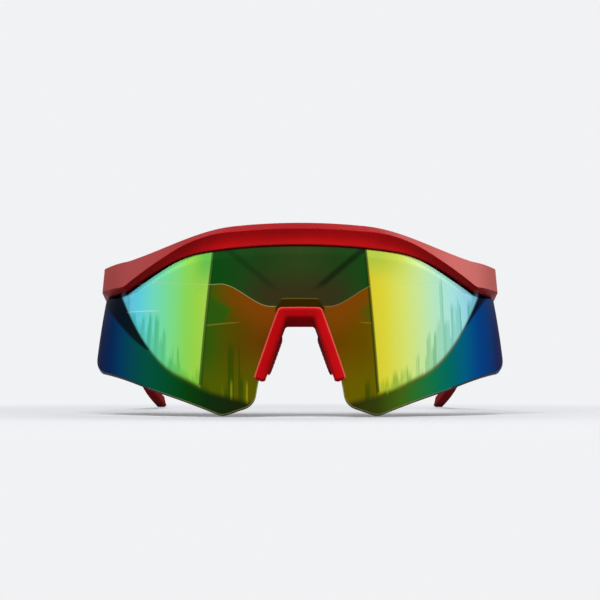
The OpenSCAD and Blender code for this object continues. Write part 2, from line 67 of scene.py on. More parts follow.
HALF_W = 70.0
END_T = 5.6
BROW_TOP_Z = 1.6
BROW_LOW_Z = -6.7
TOP_DIP_Z = -4.6
DIP_Z = -14.6
END_TOP_Z = -3.3
END_LOW_Z = -12.7
TOP_FLAT, LOW_FLAT, CREASE_FLAT = 21.0, 32.0, 24.0  # half widths of the level middles
TOP_DIP_X, LOW_DIP_X, CREASE_DIP_X = HALF_W - 10, HALF_W - 10.5, HALF_W - 7.5
CREASE_DROP = 3.0
CREASE_MID_OUT = 3.2
CREASE_END_OUT = 3.2
LIP_PROUD = 0.8  # half a millimetre less than in the source, for a thinner line of shade
BACK_WALL = 1.5
EDGE_STEP = 0.4

BRIDGE_TOP = (7.0, -29.3)  # corners of one leg in front view
BRIDGE_FOOT = (14.9, -52.4)
BRIDGE_LEG = 3.8
LEG_TAPER = 1.3
REAR_TAPER = 0.8
BRIDGE_BACK_Y = 12.0
FLANGE_LIFT = 1.8
REAR_LIFT = 3.4
FLANGE_T = 1.6
FLANGE_LAP = 1.7
PAD_T = 0.7

ARM_LEN = 137.0
ARM_ROOT_T = 4.0
ARM_MID_T = 3.2
ARM_DEEP_LEN = 38.0
ARM_SLIM_AT = 62.0
ARM_GAP = 0.3
ARM_LEAF_LEN = 11.0
SOCK_START = 88.0
SOCK_T = 4.4
SOCK_TOP_Z = -13.7
TIP_LOW_Z = -18.8
TIP_IN = 3.5

HINGE_BACK = 2.4  # from the rear of the end piece to the hinge
HINGE_Z = -8.0
LEAF_LEN, LEAF_ROOM = 6.0, 0.8

# ---- Curves of the lens and the brow ----


def mix(a, b, t):
    return a + (b - a) * t


def share(x, start, end):
    """How far x is from start to end, from 0 to 1."""
    return min(max((x - start) / (end - start), 0), 1)


def ease(x, start, end):
    """The same share, slow at both ends."""
    t = share(x, start, end)
    return t * t * (3 - 2 * t)


def ramp(x, start, end):
    """The same share, curved up to its middle and straight from there."""
    t = share(x, start, end)
    return t * t / 0.75 if t < 0.5 else (2 * t - 0.5) / 1.5


def lens_rho(z, out=0.0):
    """Distance of a lens face from its upright axis, out from the outer face."""
    return LENS_R - LENS_SIDE_R + math.sqrt((LENS_SIDE_R + out) ** 2 - (z - LENS_MID_Z) ** 2)


def lens_y(x, z, out=0.0):
    return LENS_R - math.sqrt(lens_rho(z, out) ** 2 - x * x)


def top_z(x):
    top = mix(BROW_TOP_Z, TOP_DIP_Z, ease(x, TOP_FLAT, TOP_DIP_X))
    return top + (END_TOP_Z - TOP_DIP_Z) * share(x, TOP_DIP_X, HALF_W)


def low_z(x):
    if x < LOW_DIP_X:
        return mix(BROW_LOW_Z, DIP_Z, ramp(x, LOW_FLAT, LOW_DIP_X))
    return mix(DIP_Z, END_LOW_Z, share(x, LOW_DIP_X, HALF_W))


def crease_z(x):
    line = mix(BROW_TOP_Z - CREASE_DROP, DIP_Z, ramp(x, CREASE_FLAT, CREASE_DIP_X))
    return max(line, low_z(x) + EDGE_STEP)


BROW_MID_R = lens_rho(BROW_TOP_Z - CREASE_DROP) + CREASE_MID_OUT
BROW_END_R = lens_rho(DIP_Z) + CREASE_END_OUT
TURN = math.asin(HALF_W / BROW_END_R)  # where the front meets the straight sides
TAB = TURN - math.radians(2.5)  # where the lens leaves its groove
END_BACK_Y = LENS_R - (HALF_W - END_T) / math.tan(TURN) + LEAF_ROOM + LEAF_LEN
HINGE_Y = END_BACK_Y + HINGE_BACK


def brow_rho(x):
    return mix(BROW_MID_R, BROW_END_R, share(x, TOP_FLAT, CREASE_DIP_X))


# ---- From the brow frame to the row frame ----

joint = next(j for j in frame["joints"] if j["name"] == "right_arm_hinge")
TILT_SIN, TILT_COS = joint["axis"][1], joint["axis"][2]
ORIGIN_Y = joint["pos_m"][1] - (HINGE_Y * TILT_COS + HINGE_Z * TILT_SIN) / 1000
ORIGIN_Z = joint["pos_m"][2] - (HINGE_Z * TILT_COS - HINGE_Y * TILT_SIN) / 1000


def turned(v):
    """A direction of the brow frame, in the row frame."""
    return Vector((v[0], v[1] * TILT_COS + v[2] * TILT_SIN, v[2] * TILT_COS - v[1] * TILT_SIN))


def stand(p):
    """A point of the brow frame in millimetres, in the row frame in metres."""
    return turned(p) / 1000 + Vector((0, ORIGIN_Y, ORIGIN_Z))


# ---- Outlines ----


def corner(a, b, c, r, steps):
    """The arc that rounds corner b between a and c."""
    a, b, c = Vector(a), Vector(b), Vector(c)
    if r <= 0:
        return [b]
    u, w = (a - b).normalized(), (c - b).normalized()
    half = math.acos(max(-1, min(1, u.dot(w)))) / 2
    middle = b + (u + w).normalized() * r / math.sin(half)
    p, q = b + u * r / math.tan(half) - middle, b + w * r / math.tan(half) - middle
    start = math.atan2(p.y, p.x)
    turn = (math.atan2(q.y, q.x) - start + 3 * math.pi) % (2 * math.pi) - math.pi
    angles = [start + turn * i / steps for i in range(steps + 1)]
    return [middle + r * Vector((math.cos(t), math.sin(t))) for t in angles]


def rounded(points, steps):
    """A closed outline of (x, y, radius) corners, each rounded."""
    n = len(points)
    out = []
    for i, (x, y, r) in enumerate(points):
        before, after = points[i - 1], points[(i + 1) % n]
        out += corner(before[:2], (x, y), after[:2], r, steps)
    return out


# ---- Meshes ----


def piece(name, verts, faces, material, body, slot, node, sharp, second=None, marked=()):
    """A mesh of brow-frame points that rides on a body and stands for a CAD node.

    Edges sharper than the angle stay sharp, and the marked faces take the second material.
    """
    mesh = bpy.data.meshes.new(name)
    mesh.from_pydata([stand(v) for v in verts], [], faces)
    for i in marked:
        mesh.polygons[i].material_index = 1
    work = bmesh.new()
    work.from_mesh(mesh)
    bmesh.ops.remove_doubles(work, verts=work.verts, dist=1e-6)
    bmesh.ops.recalc_face_normals(work, faces=work.faces)
    work.to_mesh(mesh)
    work.free()
    mesh.shade_smooth()
    mesh.set_sharp_from_angle(angle=math.radians(sharp))
    for layer in (material, second) if second else (material,):
        mesh.materials.append(layer)
    obj = bpy.data.objects.new(name, mesh)
    bpy.context.scene.collection.objects.link(obj)
    obj.modifiers.new("even_shading", "WEIGHTED_NORMAL").keep_sharp = True
    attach(obj, body)
    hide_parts(node)
    return obj


def sweep(rings):
    """Vertices and faces of a closed skin over rings with the same number of points."""
    n = len(rings[0])
    verts = [p for ring in rings for p in ring]
    faces = [
        (i * n + j, (i + 1) * n + j, (i + 1) * n + (j + 1) % n, i * n + (j + 1) % n)
        for i in range(len(rings) - 1)
        for j in range(n)
    ]
    faces.append(tuple(range(n)))
    faces.append(tuple((len(rings) - 1) * n + j for j in reversed(range(n))))
    return verts, faces


def flipped(verts, side):
    """The right-hand shape for side 1, and its mirror image for side -1."""
    return [(v[0] * side, v[1], v[2]) for v in verts]


# ---- Materials ----


class Paint:
    """A material with a few short ways to add nodes."""

    def __init__(self, name):
        self.material = bpy.data.materials.new(name)
        self.material.use_nodes = True
        self.tree = self.material.node_tree
        self.shader = self.tree.nodes["Principled BSDF"]
        self.place = self.add("ShaderNodeTexCoord").outputs["Object"]

    def add(self, kind, **settings):
        node = self.tree.nodes.new(kind)
        for key, value in settings.items():
            setattr(node, key, value)
        return node

    def join(self, source, target):
        if isinstance(source, bpy.types.NodeSocket):
            self.tree.links.new(source, target)
        else:
            target.default_value = source

    def math(self, operation, *values):
        node = self.add("ShaderNodeMath", operation=operation)
        for value, socket in zip(values, node.inputs):
            self.join(value, socket)
        return node.outputs[0]

    def plus(self, a, b):
        return self.math("ADD", a, b)

    def minus(self, a, b):
        return self.math("SUBTRACT", a, b)

    def times(self, first, *others):
        for other in others:
            first = self.math("MULTIPLY", first, other)
        return first

    def smooth(self, value, start, end):
        """0 at start and 1 at end, eased, whichever is the larger."""
        node = self.add("ShaderNodeMapRange", interpolation_type="SMOOTHSTEP")
        self.join(value, node.inputs["Value"])
        node.inputs["From Min"].default_value = start
        node.inputs["From Max"].default_value = end
        return node.outputs["Result"]

    def straight(self, value, start, end):
        """A straight run between two (place, value) pairs, level outside them."""
        node = self.add("ShaderNodeMapRange")
        self.join(value, node.inputs["Value"])
        names = ("From Min", "From Max", "To Min", "To Max")
        for key, number in zip(names, (start[0], end[0], start[1], end[1])):
            node.inputs[key].default_value = number
        return node.outputs["Result"]

    def line(self, distance, half_width, soft):
        """1 on a line and 0 away from it, by the distance from it."""
        return self.smooth(self.math("ABSOLUTE", distance), half_width + soft, half_width)

    def blend(self, factor, a, b, mode="MIX"):
        node = self.add("ShaderNodeMix", data_type="RGBA", blend_type=mode)
        self.join(factor, node.inputs["Factor"])
        self.join(a, node.inputs[6])
        self.join(b, node.inputs[7])
        return node.outputs[2]

    def ramp(self, factor, *stops):
        """A colour ramp of (place, colour) stops."""
        node = self.add("ShaderNodeValToRGB")
        ramp = node.color_ramp
        for place, colour in stops[2:]:
            ramp.elements.new(place)
        for element, (place, colour) in zip(ramp.elements, sorted(stops)):
            element.position = place
            element.color = colour
        self.join(factor, node.inputs["Fac"])
        return node.outputs["Color"]

    def noise(self, scale, detail=3.0, vector=None):
        node = self.add("ShaderNodeTexNoise")
        self.join(vector or self.place, node.inputs["Vector"])
        node.inputs["Scale"].default_value = scale
        node.inputs["Detail"].default_value = detail
        return node.outputs["Fac"]

    def bump(self, height, strength, distance):
        node = self.add("ShaderNodeBump")
        node.inputs["Strength"].default_value = strength
        node.inputs["Distance"].default_value = distance
        self.join(height, node.inputs["Height"])
        self.join(node.outputs["Normal"], self.shader.inputs["Normal"])

    def set(self, **values):
        """Sets inputs of the shader, each named in lower case with underscores."""
        for key, value in values.items():
            label = key.replace("_", " ").title().replace("Ior", "IOR")
            self.join(value, self.shader.inputs[label])

    def brow_point(self):
        """The brow-frame x and z of the shaded point, in millimetres."""
        split = self.add("ShaderNodeSeparateXYZ")
        self.join(self.place, split.inputs[0])
        y = self.minus(split.outputs[1], ORIGIN_Y)
        z = self.minus(split.outputs[2], ORIGIN_Z)
        z = self.plus(self.times(z, TILT_COS), self.times(y, TILT_SIN))
        return self.times(split.outputs[0], 1000.0), self.times(z, 1000.0)


def rgb(text):
    """A linear colour from a hexadecimal display colour."""
    shown = [int(text[i : i + 2], 16) / 255 for i in (0, 2, 4)]
    linear = [c / 12.92 if c <= 0.04045 else ((c + 0.055) / 1.055) ** 2.4 for c in shown]
    return (*linear, 1.0)


def moulded_red(name, gloss, light="a6060a", dark="920408", ends=None):
    """Satin moulded nylon: deep red with faint flow marks and a fine moulded grain.

    ends gives the paler, pinker colours that the left and right end pieces fade to: a painted
    sheen for the light that their upper facets catch.
    """
    paint = Paint(name)
    cloudy = paint.noise(60.0)
    colour = paint.blend(paint.smooth(cloudy, 0.3, 0.75), rgb(dark), rgb(light))
    # Painted sheen: towards the left and right end pieces the colour fades to the paler ends
    # colours
    if ends:
        x = paint.brow_point()[0]
        for side, end in zip((-1, 1), ends):
            out = paint.times(x, side)
            front = paint.times(paint.smooth(out, 26, 58), paint.smooth(out, 69.95, 69.4))
            fading = paint.times(paint.smooth(out, 60, 69), 0.4)
            front = paint.times(front, paint.minus(1.0, fading))
            colour = paint.blend(front, colour, rgb(end))
    speckle = paint.smooth(paint.noise(2600.0, detail=2.0), 0.55, 0.8)
    colour = paint.blend(paint.times(speckle, 0.15), colour, rgb(light))
    rough = paint.plus(paint.times(paint.noise(400.0), 0.1), 0.33)
    paint.set(base_color=colour, roughness=rough, ior=1.5, specular_ior_level=gloss)
    paint.set(sheen_weight=0.03, sheen_roughness=0.4)
    paint.bump(paint.noise(5200.0, detail=2.0), 0.1, 0.00002)
    return paint.material


def grip_rubber(name, colour_a="9c090f", colour_b="74050a"):
    """Matt elastomer with a fine grain."""
    paint = Paint(name)
    colour = paint.blend(paint.noise(300.0, detail=5.0), rgb(colour_b), rgb(colour_a))
    rough = paint.plus(paint.times(paint.noise(900.0), 0.2), 0.5)
    paint.set(base_color=colour, roughness=rough, ior=1.45, specular_ior_level=0.0)
    paint.set(sheen_weight=0.04, sheen_roughness=0.5)
    paint.bump(paint.noise(3500.0, detail=3.0), 0.35, 0.00004)
    return paint.material


def steel(name):
    """Turned and pressed stainless steel with fine brushing along the hinge."""
    paint = Paint(name)
    stretch = paint.add("ShaderNodeMapping")
    paint.join(paint.place, stretch.inputs["Vector"])
    stretch.inputs["Scale"].default_value = (1.0, 0.06, 1.0)
    lines = paint.noise(5000.0, detail=2.0, vector=stretch.outputs["Vector"])
    colour = paint.blend(lines, rgb("9a9b9e"), rgb("d2d3d5"))
    rough = paint.plus(paint.times(lines, 0.2), 0.22)
    paint.set(base_color=colour, roughness=rough, metallic=1.0)
    paint.bump(lines, 0.15, 0.00001)
    return paint.material


def nylon(name):
    """Natural nylon of the hinge bushes."""
    paint = Paint(name)
    colour = paint.blend(paint.noise(500.0), rgb("d9d4c2"), rgb("efece0"))
    paint.set(base_color=colour, roughness=0.45, ior=1.5)
    paint.bump(paint.noise(4000.0), 0.1, 0.00002)
    return paint.material


# Colour bands of the mirror coat: millimetres from the middle of the lens, and the colour there.
# The bright, low and crown bands are painted reflections of bright and dark surroundings, over the
# coat's own colours
BAND_SPAN = 72.0
BRIGHT_LEFT = "30 add955 34 9fdc48 38 8edf5d 44 7ee597 50 74e3c8 55 63d9e7 62 72c4f0 67 86c3f2"
BRIGHT_RIGHT = "22 e3d02c 28 e4de3d 34 dfeb6e 40 d0f0a0 46 bbf0ce 52 aeeee8 60 92d8f2 66 82c4f6"
DEEP_LEFT = "9 6a3303 15 664103 20 5a4802 25 4c5204 28 3c5a08 31 2f5a0c"
DEEP_RIGHT = "9 6c3f00 16 6d4900 19 694c00 22 6a5101 26 6c5a02"
LOW_LEFT = (
    "20 1c260c 30 10300f 37 0a430f 43 025027 50 02533e "
    "56 014b4f 61 003c62 65 002a5a 70 0c1c44"
)
LOW_RIGHT = (
    "16 2e2c0c 25 36420f 32 456414 37 30722a 43 147745 "
    "49 016e60 56 005e86 61 00448a 66 0a3a78 69 1c2458"
)
CROWN = "0 2f451a 12 224218 20 1a4817 28 0e4b13"


class Coat(Paint):
    """The mirror coat, painted by places on the lens in the brow frame."""

    def __init__(self, name):
        super().__init__(name)
        self.x, self.z = self.brow_point()
        self.side = self.math("ABSOLUTE", self.x)
        self.right = self.smooth(self.x, -1.0, 1.0)

    def bands(self, text):
        """Colours by distance from the middle of the lens: pairs of millimetres and colour."""
        words = text.split()
        stops = [(float(a) / BAND_SPAN, rgb(b)) for a, b in zip(words[::2], words[1::2])]
        return self.ramp(self.math("DIVIDE", self.side, BAND_SPAN), *stops)

    def either(self, on_left, on_right):
        """One value on the left of the lens and another on its right."""
        left = self.times(self.minus(1.0, self.right), on_left)
        return self.plus(left, self.times(self.right, on_right))

    def columns(self, step, shift):
        """A random value for each upright column of the lens."""
        node = self.add("ShaderNodeTexWhiteNoise", noise_dimensions="1D")
        self.join(self.math("SNAP", self.plus(self.x, shift), step), node.inputs["W"])
        return node.outputs["Value"]

    def tinted(self, colour, tint, *masks):
        """The colour, with a tint over it as far as the masks multiplied let it show."""
        return self.blend(self.times(*masks), colour, rgb(tint))


def bright_colours(coat):
    """The bright zone, a painted reflection of bright surroundings in the coat's colours: green to
    blue on the left, and yellow to pale blue on the right.
    """
    side, z, smooth = coat.side, coat.z, coat.smooth
    cool = coat.bands(BRIGHT_LEFT)
    cool = coat.tinted(cool, "6cc84f", smooth(side, 38, 31), smooth(z, -24, -10))
    warm = coat.bands(BRIGHT_RIGHT)
    warm = coat.tinted(warm, "b0cc48", smooth(side, 42, 23), smooth(z, -20, -9), 0.9)
    return coat.blend(coat.right, cool, warm)


def deep_colours(coat, under):
    """The deep zone by the nose: amber wings, with a green notch out in each."""
    side, z, times, minus = coat.side, coat.z, coat.times, coat.minus
    smooth, either = coat.smooth, coat.either
    deep = coat.blend(coat.right, coat.bands(DEEP_LEFT), coat.bands(DEEP_RIGHT))
    olive = coat.blend(coat.right, rgb("5b6303"), rgb("6d6801"))
    deep = coat.blend(times(smooth(z, -40, -56), 0.7), deep, olive)
    deep = coat.tinted(deep, "844406", smooth(under, 14, 2), smooth(side, 32, 17), 0.85)
    # The notch points at the nose, and has a gold line under it
    tip = coat.plus(z, 28.8)
    slant = coat.math("MAXIMUM", times(tip, 1.3), times(tip, -0.37))
    notch = minus(minus(side, either(22.3, 19.5)), slant)
    notch = times(smooth(notch, -1.4, 2.0), smooth(tip, -5.0, -4.2))
    deep = coat.tinted(deep, "2c5c0e", notch, either(0.95, 0.45))
    thread = coat.line(coat.plus(tip, 4.8), 0.05, 0.3)
    return coat.tinted(deep, "b08a30", thread, smooth(side, 18, 22), 0.4)


def crown_colours(coat):
    """The dark crown above the wings, a painted reflection of dark surroundings, with a painted
    slanting shade on each side.
    """
    side, z, minus = coat.side, coat.z, coat.minus
    smooth, either = coat.smooth, coat.either
    crown = coat.bands(CROWN)
    crown = coat.tinted(crown, "38341a", smooth(z, -12, -25), smooth(side, 24, 8))
    slant = coat.line(minus(minus(side, z), either(31.0, 28.3)), 0.4, 2.0)
    return coat.tinted(crown, "101f0e", slant, smooth(z, -24, -20), either(0.35, 0.75))


def bridge_painted_reflection(coat, colour):
    """Adds a painted reflection of the bridge just above it: a dark image with a pale line along
    its top.
    """
    side, z, smooth = coat.side, coat.z, coat.smooth
    reflection_top = -26.2
    flank = coat.minus(coat.straight(z, (BRIDGE_TOP[1], 7.9), (reflection_top, 5.6)), side)
    inside = coat.times(smooth(flank, -0.3, 0.3), smooth(z, reflection_top, reflection_top - 0.2))
    colour = coat.tinted(colour, "362300", inside)
    ledge = coat.line(coat.minus(z, reflection_top), 0.05, 0.22)
    return coat.tinted(colour, "8a8a30", ledge, smooth(side, 6.2, 5.6), 0.35)


def bright_zone_edges(coat):
    """Three distances: past the zone's inner edge, above its lower edge, and out beyond that."""
    side, z, times, plus, minus = coat.side, coat.z, coat.times, coat.plus, coat.minus
    inner = coat.either(
        coat.straight(z, (-54.0, 32.1), (-6.3, 28.6)),
        coat.straight(z, (-56.7, 25.0), (-6.1, 21.6)),
    )
    # The lower edge rises straight, bends up, and then curves up to the end of the brow
    slope, bent_slope, curve = 0.32, 0.28, 0.041
    bend = coat.math("MAXIMUM", minus(side, 30.0), 0.0)
    swing = coat.math("MAXIMUM", minus(side, 40.0), 0.0)
    lower = plus(times(side, slope), times(bend, bent_slope))
    lower = plus(lower, times(swing, swing, curve))
    above = plus(minus(z, lower), 64.6)
    steep = plus(times(swing, 2 * curve), slope + bent_slope)
    beyond = coat.math("DIVIDE", minus(0.0, above), steep)
    return minus(side, inner), above, beyond


def skyline(coat, bright, above):
    """Adds a painted reflection of a far-off skyline: soft upright bars that stand on the lower
    edge.
    """
    side, times, plus, minus = coat.side, coat.times, coat.plus, coat.minus
    smooth, either, columns = coat.smooth, coat.either, coat.columns
    tops = plus(times(columns(1.3, 0.0), 0.6), times(columns(2.3, 7.4), 0.4))
    mound = times(smooth(side, 36, 48), smooth(side, 56, 51))
    tops = times(tops, plus(times(mound, either(8.0, 22.0)), 11.0))
    spire = times(coat.line(minus(side, either(48.0, 60.2)), 0.4, 0.5), either(16.0, 13.0))
    tops = coat.math("MAXIMUM", tops, spire)
    bars = smooth(minus(tops, above), 0.0, 4.0)
    tint = coat.blend(1.0, bright, rgb("94cdb4"), "MULTIPLY")
    return coat.blend(times(bars, plus(times(columns(1.3, 3.1), 0.5), 0.3)), bright, tint)


def posts_and_gleams(coat, colour, above):
    """Adds painted reflections low in the deep zone: dark upright bars and thin gleams."""
    side, times, plus, minus = coat.side, coat.times, coat.plus, coat.minus
    smooth, columns = coat.smooth, coat.columns
    near_nose = smooth(side, 33, 30)
    mound = times(coat.line(minus(side, 21.5), 2.5, 3.0), 14.0)
    tops = times(columns(2.0, 5.2), plus(mound, 10.0))
    posts = times(smooth(minus(tops, above), 0.0, 5.0), near_nose)
    colour = coat.tinted(colour, "314b04", posts, smooth(columns(1.5, 1.7), 0.3, 0.6), 0.75)
    gleam = times(smooth(columns(1.0, 9.3), 0.78, 0.84), near_nose)
    tops = times(columns(1.0, 4.6), 8.0)
    return coat.tinted(colour, "b5b520", gleam, smooth(minus(tops, above), 0.0, 3.0), 0.4)


def outer_band(coat, colour, beyond):
    """Adds the dark band outside the bright zone, a painted dark reflection, which tapers off
    downwards.
    """
    times, smooth = coat.times, coat.smooth
    reach = coat.straight(coat.z, (-39.0, 0.0), (-15.0, 1.0))
    breadth = coat.either(times(coat.math("POWER", reach, 0.6), 6.5), times(reach, reach, 3.0))
    band = times(smooth(beyond, -0.2, 0.4), smooth(coat.minus(beyond, breadth), 0.6, -0.6))
    band = times(band, smooth(breadth, 0.1, 0.8), 0.92)
    return coat.blend(band, colour, coat.blend(coat.right, rgb("080c14"), rgb("08081f")))


def distance_below_lip(coat):
    """How far the shaded point lies below the brow's lower edge."""
    times, plus, minus = coat.times, coat.plus, coat.minus
    dip = coat.straight(coat.side, (LOW_FLAT, 0.0), (LOW_DIP_X, 1.0))
    slow = coat.math("MINIMUM", dip, 0.5)
    dip = plus(times(slow, slow, 1 / 0.75), times(minus(dip, slow), 2 / 1.5))
    return minus(plus(times(dip, DIP_Z - BROW_LOW_Z), BROW_LOW_Z), coat.z)


def thin_lines(coat, colour, under, past_inner, above):
    """Adds painted reflections: a dark line along the upright edge, and pale highlight lines along
    and under the wings.
    """
    side, z, times, minus = coat.side, coat.z, coat.times, coat.minus
    smooth, either = coat.smooth, coat.either
    edge = coat.line(minus(past_inner, either(0.25, 0.05)), 0.3, 0.4)
    colour = coat.tinted(colour, "12300a", edge, smooth(above, 0.0, 1.0), 0.8)
    wing = times(coat.line(under, 0.03, 0.2), smooth(side, 7, 9), smooth(side, 60, 50))
    colour = coat.tinted(colour, "d2cf86", wing, either(0.4, 0.2))
    short = coat.line(minus(coat.plus(z, 37.0), times(side, 0.24)), 0.05, 0.25)
    short = times(short, smooth(side, 46, 50), smooth(side, 60, 57))
    return coat.tinted(colour, "e6f0d0", short, either(0.45, 0.0))


def mirror_coat_painted_reflections(name):
    """Mirror coat whose colours run from gold by the nose through green to blue and violet. Its
    bright zone, dark crown, low zone, dark outer band, bars and thin lines are painted reflections
    of the surroundings over those colours.
    """
    coat = Coat(name)
    side, z, times, plus, minus = coat.side, coat.z, coat.times, coat.plus, coat.minus
    smooth = coat.smooth
    # The crown, and the deep zone under the top edge of the wings
    wing_top = plus(times(smooth(side, 9, 27), 9.3), -28.8)
    wing_top = plus(wing_top, times(smooth(side, 26, 60), 6.5))
    under = minus(wing_top, z)
    wings = smooth(under, -0.15, 0.15)
    colour = coat.blend(wings, crown_colours(coat), deep_colours(coat, under))
    colour = bridge_painted_reflection(coat, colour)
    past_inner, above, beyond = bright_zone_edges(coat)
    colour = posts_and_gleams(coat, colour, above)
    # The low zone along the lower edge, and the bright zone above it, both painted reflections in
    # the coat's colours
    low = coat.blend(coat.right, coat.bands(LOW_LEFT), coat.bands(LOW_RIGHT))
    colour = coat.blend(smooth(above, 1.0, -1.5), colour, low)
    bright_zone = times(smooth(past_inner, -0.2, 0.3), smooth(above, -0.6, 1.4))
    colour = coat.blend(bright_zone, colour, skyline(coat, bright_colours(coat), above))
    colour = outer_band(coat, colour, beyond)
    # Painted reflection of the brow's underside just below its lip
    below_lip = distance_below_lip(coat)
    tall = plus(times(smooth(side, 34, 56), 0.95), 0.3)
    near_lip = times(smooth(minus(below_lip, tall), 0.15, -0.15), smooth(side, 62, 60))
    colour = coat.blend(near_lip, colour, coat.blend(bright_zone, rgb("6a3414"), rgb("0a0c0a")))
    colour = thin_lines(coat, colour, under, past_inner, above)
    # Close under the lip the coat's own colour shows more than what it mirrors
    bare = times(plus(times(smooth(side, 32, 42), 0.47), 0.25), smooth(side, 63, 58))
    metal = minus(0.92, times(smooth(below_lip, 4.2, 2.4), bare))
    coat.set(base_color=colour, metallic=metal, roughness=0.07, specular_ior_level=0.1)
    coat.set(specular_tint=(0.5, 0.5, 0.5, 1.0))
    return coat.material


def cut_edge(name, near, far):
    """Cut edge of the lens: one colour by the nose, another towards the sides."""
    paint = Paint(name)
    side = paint.math("ABSOLUTE", paint.brow_point()[0])
    colour = paint.blend(paint.smooth(side, 30, 62), rgb(near), rgb(far))
    colour = paint.blend(paint.times(paint.noise(250.0), 0.5), colour, rgb("101408"))
    paint.set(base_color=colour, roughness=0.5, ior=1.58, specular_ior_level=0.05)
    return paint.material


def dark_rear(name):
    """Uncoated rear face of the lens: dark smoke tint."""
    paint = Paint(name)
    colour = paint.blend(paint.noise(30.0), rgb("15171b"), rgb("22252b"))
    paint.set(base_color=colour, roughness=0.08, ior=1.58, coat_weight=0.6)
    return paint.material


RED = moulded_red("satin_red", 0.07)
# The top facet's red is a darker copy of the satin red, painted shade, and turns paler and pinker
# towards the end pieces, painted sheen, the right end more than the left
FACET_PAINTED_SHADE_AND_SHEEN = moulded_red("facet_red_painted_shade_and_sheen", 0.05, "960509", "880408", ends=("a44444", "c86a64"))
CLIP_RED = moulded_red("clip_red", 0.0, "c40f14", "ac0a0f")
# The rim red is paler than the clip red: a painted highlight along the outer chamfer, with more
# gloss as well
CLIP_RIM_PAINTED_HIGHLIGHT = moulded_red("clip_rim_painted_highlight", 0.5, "d8503f", "cc4236")
RUBBER = grip_rubber("grip_rubber")
PAD = grip_rubber("pad_rubber", "a30e14", "7f070c")
STEEL = steel("brushed_steel")
NYLON = nylon("natural_nylon")
COAT = mirror_coat_painted_reflections("mirror_coat_painted_reflections")
# The front arris colours are pale: a painted highlight along the polished edge
ARRIS_PAINTED_HIGHLIGHT = cut_edge("front_arris_painted_highlight", "c4c66c", "4f7090")
EDGE = cut_edge("lens_edge", "23270f", "0c1626")
REAR = dark_rear("smoke_tint")

# ---- Lens ----

# Width of the lens edge in the groove, and where the brow's front meets its straight sides
TAB_X = lens_rho(END_LOW_Z + GROOVE_DEPTH, -LENS_T) * math.sin(TAB) - FLOOR_GAP
TURN_X = lens_rho(DIP_Z) * math.sin(TURN)
# How far the long lower edge stands out, and its rounding
BULGE, BULGE_R = 1.2, 60.0
LENS_BEVEL = 0.16
EDGE_SPACING, GRID_SPACING = 1.2, 2.0  # of the lens's points, along its edge and inside it


def lens_outline():
    """The lens in front view, right half from the top middle round to the nose cut-out."""
    cut_foot = (BRIDGE_FOOT[0] - FLANGE_LAP, BRIDGE_FOOT[1])
    cut_top = (BRIDGE_TOP[0] - FLANGE_LAP, BRIDGE_TOP[1] - FLANGE_LAP)
    bulge = ((OUTER_TIP[0] + LOBE_TIP[0]) / 2, (OUTER_TIP[1] + LOBE_TIP[1]) / 2 - BULGE)
    wing_x, shoulder_z = OUTER_TIP[0] - WING_LEAN, low_z(TURN_X) - BROW_GAP
    count = 44
    steps = [TAB_X * i / count for i in range(count + 1)]
    points = [Vector((x, low_z(x) + GROOVE_DEPTH - FLOOR_GAP)) for x in steps]
    points += [Vector((TAB_X, low_z(TAB_X) - BROW_GAP)), Vector((TURN_X, shoulder_z))]
    points.append(Vector((wing_x, shoulder_z)))
    points += corner((wing_x, END_LOW_Z), OUTER_TIP, bulge, LENS_CORNER_R, 12)
    points += corner(OUTER_TIP, bulge, LOBE_TIP, BULGE_R, 6)
    points += corner(bulge, LOBE_TIP, LOBE_INNER, LOBE_R, 8)
    points += corner(LOBE_TIP, LOBE_INNER, cut_foot, LOBE_R, 8)
    points += [Vector(cut_foot), Vector(cut_top), Vector((0, cut_top[1]))]
    return points


def dense(points, step):
    """The same outline with no gap longer than step."""
    out = []
    for a, b in zip(points, points[1:] + points[:1]):
        count = max(1, math.ceil((b - a).length / step))
        out += [a.lerp(b, i / count) for i in range(count)]
    return out


def inset(points, amount):
    """A closed outline moved inwards, for an outline that runs clockwise seen from in front."""
    out = []
    n = len(points)
    for i, p in enumerate(points):
        u = (p - points[i - 1]).normalized()
        w = (points[(i + 1) % n] - p).normalized()
        across = Vector((u.y + w.y, -u.x - w.x))
        if across.length < 1e-6:
            across = Vector((u.y, -u.x))
        across.normalize()
        scale = 1 / max(0.5, across.dot(Vector((u.y, -u.x))))
        out.append(p + across * amount * scale)
    return out


def filled(outline, step):
    """Delaunay triangles over an outline, with a regular grid of points inside it."""
    n = len(outline)
    low_x, high_x = min(p.x for p in outline), max(p.x for p in outline)
    low_y, high_y = min(p.y for p in outline), max(p.y for p in outline)
    grid = [
        Vector((low_x + i * step, low_y + j * step))
        for i in range(1, int((high_x - low_x) / step) + 1)
        for j in range(1, int((high_y - low_y) / step) + 1)
    ]

    def clear(p):
        """Whether a point is inside the outline and not too near it."""
        within = False
        for a, b in zip(outline, outline[1:] + outline[:1]):
            if (a - p).length < step * 0.55:
                return False
            crosses = (a.y > p.y) != (b.y > p.y)
            if crosses and p.x < a.x + (p.y - a.y) * (b.x - a.x) / (b.y - a.y):
                within = not within
        return within

    inside = [p for p in grid if clear(p)]
    points = outline + inside
    edges = [(i, (i + 1) % n) for i in range(n)]
    result = geometry.delaunay_2d_cdt(points, edges, [list(range(n))], 1, 1e-5)
    return result[0], result[2]


